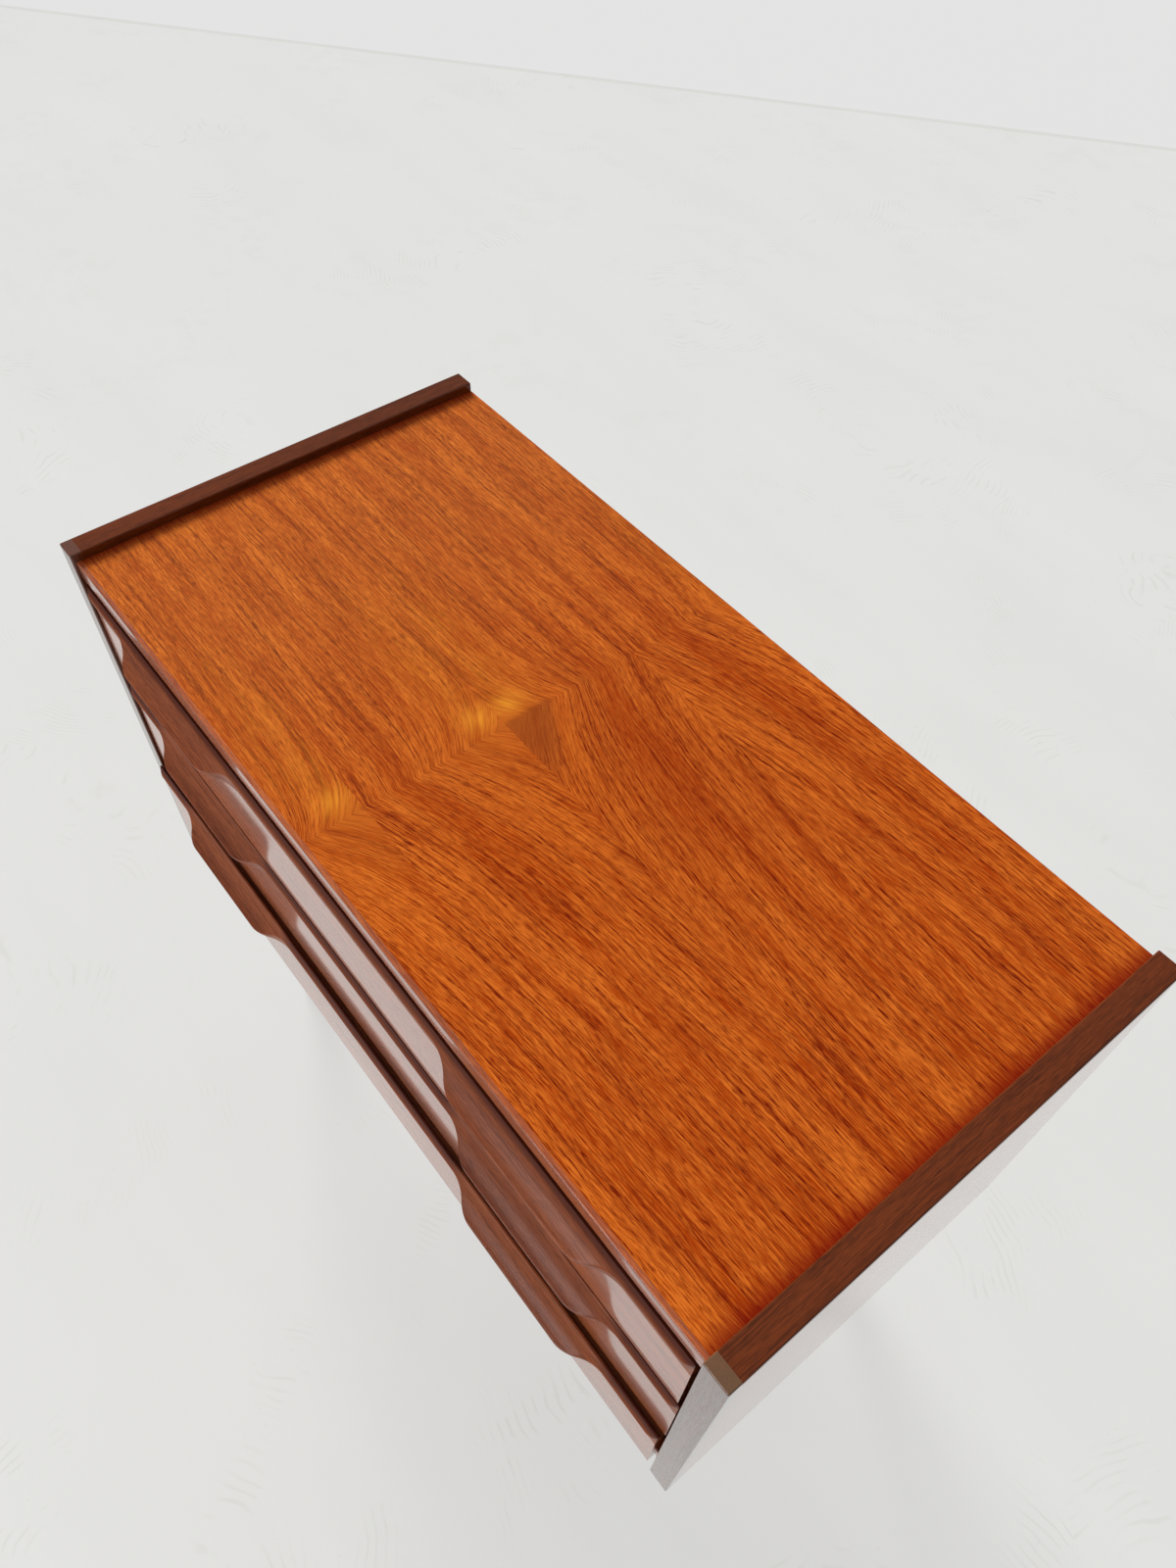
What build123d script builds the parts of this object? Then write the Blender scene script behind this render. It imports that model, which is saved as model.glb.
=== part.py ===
from build123d import *
import os

# A low teak chest of three drawers on four turned legs.
# Millimetres. X runs to the right, Y to the back, Z up from the floor.
# The case is centred on X = 0. While the pieces are drawn, Y = 0 is the front edge
# of the side panels. save() then centres them in Y on the chest's whole depth.

# Whole chest
WIDTH = 800
CASE_DEPTH = 392
HEIGHT = 700
SIDE_HEIGHT = 420
SIDE_THICK = 20

# Edgings of solid wood round the veneered boards
FRONT_EDGING = 10
TOP_EDGING = 10
BOARD_EDGING = 4
EASED = 1.2
CORNER_ROUND = 3

# Top and bottom boards, and the back
BOARD = 18
TOP_SUNK = 8
TOP_SETBACK = 3.2
BOTTOM_RAISED = 20
BOTTOM_SETBACK = 8
BACK_PLY = 6
BACK_INSET = 2
BACK_RAIL = 20
BACK_SCREW_SHARES = (-0.92, -0.46, 0, 0.46, 0.92)

# Drawers
DRAWER_PITCH = 117
FIRST_LIP_DROP = 31
FRONT_GAP = 3.5
SIDE_GAP = 3.5
FACE_SETBACK = 2.5
FRONT_THICK = 18
DRAWER_WALL = 13
DRAWER_BACK_LOWER = 6
DRAWER_BACK_END = 365
WALL_TOP = 23
WALL_BOTTOM = 103
BOTTOM_PLY = 4
BOTTOM_DROP = 96
BOTTOM_GROOVE = 5
LIP_TALL = 28

# The carved lip along the top of each drawer: how far forward of its ridge, and below it
RIDGE_WIDTH = 1.8
HOLLOW_DEPTH = 9
NARROW_NOSE = 3.5
NARROW_DROP = 6
WIDE_NOSE = 17
PLAN_CLEAR = 2
NOSE_TOP = 15.2
NOSE_BOTTOM = 17.8
NOSE_BACK = 1
SCOOP_FORWARD = 6.1
SCOOP_DOWN = 9.1
UNDER_FORWARD = 5
UNDER_DOWN = 20.5
LIP_TAPER = 9
PULL_INNER = 130
PULL_OUTER = 320
PULL_CURVE = 44
END_CHAMFER = 9
END_RETURN = 9

# Runners screwed to the side panels, in grooves of the drawer walls
RUNNER_REACH = 8
RUNNER_TALL = 14
GROOVE_TALL = 15
GROOVE_DEEP = 8
RUNNER_DROP = 63
RUNNER_FRONT = 21
RUNNER_BACK = 361
RUNNER_SCREW_SHARES = (0.1, 0.5, 0.9)

# Legs
LEG_X = 315
LEG_FRONT_Y = 54
LEG_TOP_RADIUS = 20
LEG_FOOT_RADIUS = 15.5
GLIDE_RADIUS = 11
GLIDE = 3
GLIDE_EASED = 1
PLATE = 60
PLATE_THICK = 4
PLATE_CORNER = 6
PLATE_SCREW_INSET = 9
STUD_RADIUS = 4
STUD_IN_LEG = 40
STUD_IN_BOARD = 8

# Fasteners
DOWEL_RADIUS = 4
DOWEL_HOLE_RADIUS = 4.1
DOWEL_IN_SIDE = 12
DOWEL_LONG = 40
DOWEL_SHARES = (0.16, 0.5, 0.84)
SCREW_RADIUS = 2
SCREW_HEAD_RADIUS = 4
SCREW_HEAD = 2.4
RUNNER_SCREW = 20
PLATE_SCREW = 16
BACK_SCREW = 22

# Each drawer's name, and how far it stands forward and to the right at rest
DRAWERS = {
    "top_drawer": (0, 0),
    "middle_drawer": (0, 2),
    "bottom_drawer": (5, 0),
}

HALF = WIDTH / 2
INSIDE = HALF - SIDE_THICK
SIDE_BOTTOM = HEIGHT - SIDE_HEIGHT
TOP_Z = HEIGHT - TOP_SUNK
BOTTOM_Z = SIDE_BOTTOM + BOTTOM_RAISED
BACK_Y = CASE_DEPTH - BACK_INSET
LEG_BACK_Y = CASE_DEPTH - LEG_FRONT_Y
DRAWER_HALF = INSIDE - SIDE_GAP
RUNNER_LENGTH = RUNNER_BACK - RUNNER_FRONT
RUNNER_SCREW_Y = [RUNNER_FRONT + share * RUNNER_LENGTH for share in RUNNER_SCREW_SHARES]
DOWEL_Y = [CASE_DEPTH * share for share in DOWEL_SHARES]
TOP_DOWEL_Z = TOP_Z - BOARD / 2
BOTTOM_DOWEL_Z = BOTTOM_Z + BOARD / 2


def block(x0, x1, y0, y1, z0, z1):
    """A box between two corners."""
    centre = Pos((x0 + x1) / 2, (y0 + y1) / 2, (z0 + z1) / 2)
    return centre * Box(x1 - x0, y1 - y0, z1 - z0)


def rod(start, axis, radius, length):
    """A round rod from a point along an axis."""
    plane = Plane(origin=start, z_dir=axis)
    return plane * Cylinder(radius, length, align=(Align.CENTER, Align.CENTER, Align.MIN))


def screw(start, axis, length):
    """A countersunk screw whose head lies flush at its start."""
    align = (Align.CENTER, Align.CENTER, Align.MIN)
    head = Plane(origin=start, z_dir=axis) * Cone(
        SCREW_HEAD_RADIUS, SCREW_RADIUS, SCREW_HEAD, align=align)
    return head + rod(start, axis, SCREW_RADIUS, length)


def lip_level(number):
    """Height of the ridge of a drawer's lip, counted from the top one."""
    return HEIGHT - FIRST_LIP_DROP - number * DRAWER_PITCH


def group(solids):
    """Several separate solids as one node."""
    return Compound([solid.solid() for solid in solids])


pieces = {}


def save():
    """Write every piece, centred in Y between the foremost lip and the back."""
    os.makedirs("parts", exist_ok=True)
    foremost = min(shape.bounding_box().min.Y for shape in pieces.values())
    move = Pos(0, -(CASE_DEPTH + foremost) / 2, 0)
    for name, shape in pieces.items():
        export_step(move * shape, f"parts/{name}.step")


# Fasteners come first, because the boards are bored for them.

def dowels_at(level):
    rods = []
    for side in (-1, 1):
        for y in DOWEL_Y:
            start = (side * (INSIDE + DOWEL_IN_SIDE), y, level)
            rods.append((start, (-side, 0, 0)))
    return rods


def runner_screws_of(side):
    screws = []
    for number in range(len(DRAWERS)):
        level = lip_level(number) - RUNNER_DROP
        for y in RUNNER_SCREW_Y:
            screws.append(screw((side * (INSIDE - RUNNER_REACH), y, level), (side, 0, 0), RUNNER_SCREW))
    return screws


def leg_places():
    places = {}
    for side, side_name in ((-1, "left"), (1, "right")):
        for y, end_name in ((LEG_FRONT_Y, "front"), (LEG_BACK_Y, "back")):
            places[f"{end_name}_{side_name}"] = (side * LEG_X, y)
    return places


def plate_screws_of(x, y):
    corner = PLATE / 2 - PLATE_SCREW_INSET
    level = BOTTOM_Z - PLATE_THICK
    corners = [(x + i * corner, y + j * corner, level) for i in (-1, 1) for j in (-1, 1)]
    return [screw(start, (0, 0, 1), PLATE_SCREW) for start in corners]


def back_screws():
    levels = (TOP_Z - BOARD - BACK_RAIL / 2, BOTTOM_Z + BOARD / 2)
    starts = [(share * INSIDE, BACK_Y, level) for share in BACK_SCREW_SHARES for level in levels]
    return [screw(start, (0, -1, 0), BACK_SCREW) for start in starts]


# Case: two side panels, each with a front and a top edging

def side_panel(side):
    inner, outer = side * INSIDE, side * HALF
    x0, x1 = min(inner, outer), max(inner, outer)
    panel = block(x0, x1, FRONT_EDGING, CASE_DEPTH, SIDE_BOTTOM, HEIGHT - TOP_EDGING)
    for level in (TOP_DOWEL_Z, BOTTOM_DOWEL_Z):
        for start, axis in dowels_at(level):
            if start[0] * side > 0:
                panel -= rod(start, axis, DOWEL_HOLE_RADIUS, DOWEL_LONG)
    for fastener in runner_screws_of(side):
        panel -= fastener
    return panel


def front_edging(side):
    inner, outer = side * INSIDE, side * HALF
    x0, x1 = min(inner, outer), max(inner, outer)
    strip = block(x0, x1, 0, FRONT_EDGING, SIDE_BOTTOM, HEIGHT)
    foot = strip.faces().sort_by(Axis.Z)[0].edges().filter_by(Axis.Y).sort_by(Axis.X)
    strip = fillet(foot[0] if side > 0 else foot[-1], CORNER_ROUND)
    front = strip.faces().sort_by(Axis.Y)[0].edges()
    top = strip.faces().sort_by(Axis.Z)[-1].edges().filter_by(Axis.Y)
    return fillet(front + top, EASED)


def top_edging(side):
    inner, outer = side * INSIDE, side * HALF
    x0, x1 = min(inner, outer), max(inner, outer)
    strip = block(x0, x1, FRONT_EDGING, CASE_DEPTH, HEIGHT - TOP_EDGING, HEIGHT)
    return fillet(strip.faces().sort_by(Axis.Z)[-1].edges().filter_by(Axis.Y), EASED)


for side, side_name in ((-1, "left"), (1, "right")):
    pieces[f"{side_name}_side_panel"] = side_panel(side)
    pieces[f"{side_name}_front_edging"] = front_edging(side)
    pieces[f"{side_name}_top_edging"] = top_edging(side)


# Top and bottom boards, back and back rail

def top_board():
    front = TOP_SETBACK + BOARD_EDGING
    board = block(-INSIDE, INSIDE, front, CASE_DEPTH, TOP_Z - BOARD, TOP_Z)
    for start, axis in dowels_at(TOP_DOWEL_Z):
        board -= rod(start, axis, DOWEL_HOLE_RADIUS, DOWEL_LONG)
    return board


def bottom_board():
    front = BOTTOM_SETBACK + BOARD_EDGING
    board = block(-INSIDE, INSIDE, front, BACK_Y - BACK_PLY, BOTTOM_Z, BOTTOM_Z + BOARD)
    for start, axis in dowels_at(BOTTOM_DOWEL_Z):
        board -= rod(start, axis, DOWEL_HOLE_RADIUS, DOWEL_LONG)
    for x, y in leg_places().values():
        board -= rod((x, y, BOTTOM_Z), (0, 0, 1), STUD_RADIUS, STUD_IN_BOARD)
        for fastener in plate_screws_of(x, y):
            board -= fastener
    for fastener in back_screws():
        board -= fastener
    return board


def board_edging(setback, level):
    strip = block(-INSIDE, INSIDE, setback, setback + BOARD_EDGING, level, level + BOARD)
    return fillet(strip.faces().sort_by(Axis.Y)[0].edges().filter_by(Axis.X), EASED)


def bored_for_back_screws(shape):
    for fastener in back_screws():
        shape -= fastener
    return shape


pieces["top_panel"] = top_board()
pieces["top_front_edging"] = board_edging(TOP_SETBACK, TOP_Z - BOARD)
pieces["bottom_panel"] = bottom_board()
pieces["bottom_front_edging"] = board_edging(BOTTOM_SETBACK, BOTTOM_Z)
pieces["back_panel"] = bored_for_back_screws(
    block(-INSIDE, INSIDE, BACK_Y - BACK_PLY, BACK_Y, BOTTOM_Z, TOP_Z - BOARD))
pieces["back_rail"] = bored_for_back_screws(
    block(-INSIDE, INSIDE, BACK_Y - BACK_PLY - BACK_RAIL, BACK_Y - BACK_PLY,
          TOP_Z - BOARD - BACK_RAIL, TOP_Z - BOARD))
pieces["back_screws"] = group(back_screws())
pieces["top_dowels"] = group(
    [rod(start, axis, DOWEL_RADIUS, DOWEL_LONG) for start, axis in dowels_at(TOP_DOWEL_Z)])
pieces["bottom_dowels"] = group(
    [rod(start, axis, DOWEL_RADIUS, DOWEL_LONG) for start, axis in dowels_at(BOTTOM_DOWEL_Z)])


# Runners

def runner(side, number):
    inner, outer = side * (INSIDE - RUNNER_REACH), side * INSIDE
    level = lip_level(number) - RUNNER_DROP
    strip = block(min(inner, outer), max(inner, outer), RUNNER_FRONT, RUNNER_BACK,
                  level - RUNNER_TALL / 2, level + RUNNER_TALL / 2)
    for fastener in runner_screws_of(side):
        strip -= fastener
    return strip


for number, drawer_name in enumerate(DRAWERS):
    for side, side_name in ((-1, "left"), (1, "right")):
        pieces[f"{drawer_name}_{side_name}_runner"] = runner(side, number)
pieces["runner_screws"] = group(runner_screws_of(-1) + runner_screws_of(1))


# Legs, each on a steel plate, with a nylon glide under its foot

def leg(x, y):
    tall = BOTTOM_Z - PLATE_THICK - GLIDE
    turned = Cone(LEG_FOOT_RADIUS, LEG_TOP_RADIUS, tall, align=(Align.CENTER, Align.CENTER, Align.MIN))
    turned = fillet(turned.edges().sort_by(Axis.Z)[0], EASED)
    turned = Pos(x, y, GLIDE) * turned
    return turned - rod((x, y, BOTTOM_Z - PLATE_THICK), (0, 0, -1), STUD_RADIUS, STUD_IN_LEG)


def leg_plate(x, y):
    level = BOTTOM_Z - PLATE_THICK
    plate = block(x - PLATE / 2, x + PLATE / 2, y - PLATE / 2, y + PLATE / 2, level, BOTTOM_Z)
    plate = fillet(plate.edges().filter_by(Axis.Z), PLATE_CORNER)
    plate -= rod((x, y, level), (0, 0, 1), STUD_RADIUS, PLATE_THICK)
    for fastener in plate_screws_of(x, y):
        plate -= fastener
    return plate


def leg_stud(x, y):
    start = (x, y, BOTTOM_Z - PLATE_THICK - STUD_IN_LEG)
    return rod(start, (0, 0, 1), STUD_RADIUS, STUD_IN_LEG + PLATE_THICK + STUD_IN_BOARD)


def glide(x, y):
    disc = rod((x, y, 0), (0, 0, 1), GLIDE_RADIUS, GLIDE)
    return fillet(disc.edges().sort_by(Axis.Z)[0], GLIDE_EASED)


plate_screws = []
for place, (x, y) in leg_places().items():
    pieces[f"{place}_leg"] = leg(x, y)
    pieces[f"{place}_leg_plate"] = leg_plate(x, y)
    pieces[f"{place}_foot_glide"] = glide(x, y)
    plate_screws += plate_screws_of(x, y)
pieces["plate_screws"] = group(plate_screws)
pieces["leg_studs"] = group([leg_stud(x, y) for x, y in leg_places().values()])


# Drawers. Each piece is drawn for a drawer whose ridge is at y = 0, z = 0.

def lip_section():
    """The lip cut across its length, as wide as it is at the pulls."""
    tip = (-WIDE_NOSE, -(NOSE_TOP + NOSE_BOTTOM) / 2)
    over_tip = (NOSE_BACK - WIDE_NOSE, -NOSE_TOP)
    under_tip = (NOSE_BACK - WIDE_NOSE, -NOSE_BOTTOM)
    edges = [
        ThreePointArc((0, 0), (-SCOOP_FORWARD, -SCOOP_DOWN), over_tip),
        ThreePointArc(over_tip, tip, under_tip),
        ThreePointArc(under_tip, (-UNDER_FORWARD, -UNDER_DOWN), (0, -LIP_TALL)),
        Polyline((0, -LIP_TALL), (FRONT_THICK, -LIP_TALL), (FRONT_THICK, -HOLLOW_DEPTH),
                 (2 * RIDGE_WIDTH, -HOLLOW_DEPTH), (RIDGE_WIDTH, 0), (0, 0)),
    ]
    return make_face(Curve(edges))


def s_curve(start, end):
    """Two equal arcs that leave and arrive along X."""
    middle = ((start[0] + end[0]) / 2, (start[1] + end[1]) / 2)
    direction = (1, 0) if end[0] > start[0] else (-1, 0)
    first = TangentArc(start, middle, tangent=direction)
    return [first, TangentArc(middle, end, tangent=first % 1)]


def lip_plan(side):
    """One half of the lip's outline from above: straight, out to the pull, and back."""
    wide = WIDE_NOSE + PLAN_CLEAR

    def at(x, nose):
        return (side * x, -nose)

    return [
        Line(at(0, NARROW_NOSE), at(PULL_INNER, NARROW_NOSE)),
        *s_curve(at(PULL_INNER, NARROW_NOSE), at(PULL_INNER + PULL_CURVE, wide)),
        Line(at(PULL_INNER + PULL_CURVE, wide), at(PULL_OUTER - PULL_CURVE, wide)),
        *s_curve(at(PULL_OUTER - PULL_CURVE, wide), at(PULL_OUTER, NARROW_NOSE)),
        Line(at(PULL_OUTER, NARROW_NOSE), at(DRAWER_HALF - END_CHAMFER, NARROW_NOSE)),
        Line(at(DRAWER_HALF - END_CHAMFER, NARROW_NOSE), at(HALF, NARROW_NOSE - END_RETURN)),
        Line(at(HALF, NARROW_NOSE - END_RETURN), at(HALF, -2 * FRONT_THICK)),
        Line(at(HALF, -2 * FRONT_THICK), at(0, -2 * FRONT_THICK)),
    ]


def lip():
    outline = make_face(Curve(lip_plan(-1) + lip_plan(1)))
    upper = Pos(0, 0, -NARROW_DROP) * extrude(outline, NARROW_DROP + 1)
    lower = Pos(0, 0, -NARROW_DROP) * extrude(outline, LIP_TALL - NARROW_DROP, taper=LIP_TAPER)
    carved = extrude(Plane.YZ * lip_section(), DRAWER_HALF, both=True)
    return carved & (upper + lower)


def drawer_front():
    low = FRONT_GAP - DRAWER_PITCH
    front = block(-DRAWER_HALF, DRAWER_HALF, 0, FRONT_THICK, low, -LIP_TALL)
    front = fillet(front.faces().sort_by(Axis.Y)[0].edges().sort_by(Axis.Z)[0], EASED)
    inner = DRAWER_HALF - DRAWER_WALL + BOTTOM_GROOVE
    groove = block(-inner, inner, FRONT_THICK - BOTTOM_GROOVE, FRONT_THICK,
                   -BOTTOM_DROP, BOTTOM_PLY - BOTTOM_DROP)
    return front - groove


def drawer_wall(side):
    inner, outer = side * (DRAWER_HALF - DRAWER_WALL), side * DRAWER_HALF
    end = DRAWER_BACK_END - FACE_SETBACK
    wall = block(min(inner, outer), max(inner, outer), FRONT_THICK, end, -WALL_BOTTOM, -WALL_TOP)
    wall = fillet(wall.faces().sort_by(Axis.Z)[-1].edges().filter_by(Axis.Y), EASED)
    floor = side * (DRAWER_HALF - GROOVE_DEEP)
    wall -= block(min(floor, outer), max(floor, outer), FRONT_THICK, end,
                  -RUNNER_DROP - GROOVE_TALL / 2, -RUNNER_DROP + GROOVE_TALL / 2)
    deep = side * (DRAWER_HALF - DRAWER_WALL + BOTTOM_GROOVE)
    wall -= block(min(inner, deep), max(inner, deep), FRONT_THICK, end,
                  -BOTTOM_DROP, BOTTOM_PLY - BOTTOM_DROP)
    return wall


def drawer_back():
    inner = DRAWER_HALF - DRAWER_WALL
    end = DRAWER_BACK_END - FACE_SETBACK
    return block(-inner, inner, end - DRAWER_WALL, end, BOTTOM_PLY - BOTTOM_DROP,
                 -WALL_TOP - DRAWER_BACK_LOWER)


def drawer_bottom():
    inner = DRAWER_HALF - DRAWER_WALL + BOTTOM_GROOVE
    end = DRAWER_BACK_END - FACE_SETBACK
    return block(-inner, inner, FRONT_THICK - BOTTOM_GROOVE, end, -BOTTOM_DROP, BOTTOM_PLY - BOTTOM_DROP)


shared = {
    "front": drawer_front(),
    "lip": lip(),
    "left_wall": drawer_wall(-1),
    "right_wall": drawer_wall(1),
    "back": drawer_back(),
    "bottom": drawer_bottom(),
}
for number, (drawer_name, (forward, right)) in enumerate(DRAWERS.items()):
    place = Pos(right, FACE_SETBACK - forward, lip_level(number))
    for part_name, shape in shared.items():
        pieces[f"{drawer_name}_{part_name}"] = place * shape

save()
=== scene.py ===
"""A low teak chest of three drawers, dressed for its portrait.

The case, drawers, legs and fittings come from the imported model. This script
lights them, gives every surface its finish, carves the lips of the drawers
finer than the model holds them, and adds the small things that repeat.
"""

import math

import bmesh
import bpy
from mathutils import Euler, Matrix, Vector


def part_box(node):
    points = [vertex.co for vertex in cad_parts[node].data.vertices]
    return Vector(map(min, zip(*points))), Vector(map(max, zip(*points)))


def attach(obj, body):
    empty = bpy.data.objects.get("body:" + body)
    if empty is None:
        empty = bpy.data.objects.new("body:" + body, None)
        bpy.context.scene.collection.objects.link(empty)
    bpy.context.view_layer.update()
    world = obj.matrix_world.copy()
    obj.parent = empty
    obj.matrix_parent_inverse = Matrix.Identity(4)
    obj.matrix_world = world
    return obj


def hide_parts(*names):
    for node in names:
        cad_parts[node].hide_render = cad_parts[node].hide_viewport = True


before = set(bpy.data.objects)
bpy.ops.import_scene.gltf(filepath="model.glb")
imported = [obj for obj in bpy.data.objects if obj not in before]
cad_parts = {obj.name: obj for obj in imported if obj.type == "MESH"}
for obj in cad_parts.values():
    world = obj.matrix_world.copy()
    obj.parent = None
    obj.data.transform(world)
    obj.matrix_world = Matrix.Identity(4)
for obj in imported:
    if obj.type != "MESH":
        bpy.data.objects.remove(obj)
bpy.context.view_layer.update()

MM = 0.001
DRAWERS = ("top_drawer", "middle_drawer", "bottom_drawer")


def colour(hex_code):
    """A screen colour such as b0541c as the linear one that shaders take."""
    parts = [int(hex_code[i:i + 2], 16) / 255 for i in (0, 2, 4)]
    linear = [p / 12.92 if p <= 0.04045 else ((p + 0.055) / 1.055) ** 2.4 for p in parts]
    return (*linear, 1.0)


# Camera, solved from the straight edges of the case

IMAGE_HIGH = 1600
FOCAL_PIXELS = 1186.85
SENSOR = 36.0
MIDDLE_OFF = (1.37, 35.8)
CAMERA_PLACE = (0.4293, -0.3184, 1.3436)
CAMERA_TURN = (35.70, -1.31, 51.363)
NEAREST_SEEN = 0.02


def set_camera():
    data = bpy.data.cameras.new("portrait")
    data.sensor_fit = "VERTICAL"
    data.sensor_height = SENSOR
    data.lens = FOCAL_PIXELS * SENSOR / IMAGE_HIGH
    data.shift_x = -MIDDLE_OFF[0] / IMAGE_HIGH
    data.shift_y = MIDDLE_OFF[1] / IMAGE_HIGH
    data.clip_start = NEAREST_SEEN
    camera = bpy.data.objects.new("portrait", data)
    camera.location = CAMERA_PLACE
    camera.rotation_euler = Euler([math.radians(angle) for angle in CAMERA_TURN])
    bpy.context.scene.collection.objects.link(camera)
    bpy.context.scene.camera = camera


# Sizes of the carved lips in millimetres: heights run down from the ridge, and
# reaches run forward from the ridge's front

RIDGE = 1.8
RIDGE_ARRIS = 0.3
LIP_TALL = 28.0
LIP_BACK = 18.0
HOLLOW_TOP = 9.0
LIP_REACH = 3.5
UPRIGHT = 6.0
PULL_REACH = 19.0
PULL_INNER = 130.0
PULL_OUTER = 320.0
PULL_CURVE = 44.0
END_ROUND = 9.0
TAPER = math.tan(math.radians(9))
ARRIS = 0.35


# Building of node trees

FLOAT = "NodeSocketFloat"
WHOLE = "NodeSocketInt"
COLOUR = "NodeSocketColor"
VECTOR = "NodeSocketVector"
OBJECT = "NodeSocketObject"
GEOMETRY = "NodeSocketGeometry"
MATERIAL = "NodeSocketMaterial"


class Net:
    """A node tree with short calls for adding and joining nodes."""

    def __init__(self, tree):
        self.tree = tree

    def put(self, socket, value):
        if isinstance(value, bpy.types.NodeSocket):
            self.tree.links.new(value, socket)
        else:
            socket.default_value = value

    def add(self, kind, inputs=None, **settings):
        node = self.tree.nodes.new(kind)
        for name, value in settings.items():
            setattr(node, name, value)
        for name, value in (inputs or {}).items():
            self.put(node.inputs[name], value)
        return node

    def math(self, operation, *values):
        node = self.add("ShaderNodeMath", operation=operation)
        for place, value in enumerate(values):
            self.put(node.inputs[place], value)
        return node.outputs[0]

    def plus(self, a, b):
        return self.math("ADD", a, b)

    def minus(self, a, b):
        return self.math("SUBTRACT", a, b)

    def times(self, a, b):
        return self.math("MULTIPLY", a, b)

    def over(self, a, b):
        return self.math("DIVIDE", a, b)

    def least(self, a, b):
        return self.math("MINIMUM", a, b)

    def most(self, a, b):
        return self.math("MAXIMUM", a, b)

    def fade(self, distance, reach):
        """Falls from 1 at no distance, by a factor of e over each reach."""
        return self.math("POWER", math.e, self.times(distance, -1 / reach))

    def step(self, value, low, high, out_low=0.0, out_high=1.0):
        """A smooth step of value, from out_low at low to out_high at high."""
        node = self.add("ShaderNodeMapRange", interpolation_type="SMOOTHSTEP")
        for name, given in (("Value", value), ("From Min", low), ("From Max", high),
                            ("To Min", out_low), ("To Max", out_high)):
            self.put(node.inputs[name], given)
        return node.outputs["Result"]

    def mix(self, share, first, second):
        node = self.add("ShaderNodeMix", data_type="RGBA")
        self.put(node.inputs[0], share)
        self.put(node.inputs[6], first)
        self.put(node.inputs[7], second)
        return node.outputs[2]

    def vector(self, x, y, z):
        return self.add("ShaderNodeCombineXYZ", {"X": x, "Y": y, "Z": z}).outputs[0]

    def scaled(self, vector, x, y, z):
        node = self.add("ShaderNodeVectorMath", {0: vector, 1: (x, y, z)}, operation="MULTIPLY")
        return node.outputs[0]

    def noise(self, vector, detail=2.0, roughness=0.5):
        node = self.add("ShaderNodeTexNoise", {"Scale": 1.0, "Detail": detail, "Roughness": roughness})
        self.put(node.inputs["Vector"], vector)
        return node.outputs[0]

    def group(self, tree, inputs):
        node = self.add("ShaderNodeGroup", node_tree=tree)
        for name, value in inputs.items():
            self.put(node.inputs[name], value)
        return node.outputs


def new_group(name, inputs, outputs, tree_kind="ShaderNodeTree"):
    """A node group with named sockets: (net, its input sockets, its output node)."""
    tree = bpy.data.node_groups.new(name, tree_kind)
    for socket_name, kind, value in inputs:
        socket = tree.interface.new_socket(socket_name, in_out="INPUT", socket_type=kind)
        if value is not None:
            socket.default_value = value
    for socket_name, kind in outputs:
        tree.interface.new_socket(socket_name, in_out="OUTPUT", socket_type=kind)
    net = Net(tree)
    start = net.add("NodeGroupInput")
    end = net.add("NodeGroupOutput")
    return net, start.outputs, end


def object_place(net):
    return net.add("ShaderNodeTexCoord").outputs["Object"]


# Grain, with the scales of its noises per metre along and across it

BROAD_BANDS = (3.0, 40)
BUNDLES = (4.0, 150)
LINES_ALONG = 9.0
FIBRES = (45, 900)
DASHES = (115, 1900)
BAND_SHARES = (0.42, 0.58)
LINE_DEPTH = 0.38
DASH_DEPTH = 0.64


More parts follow.
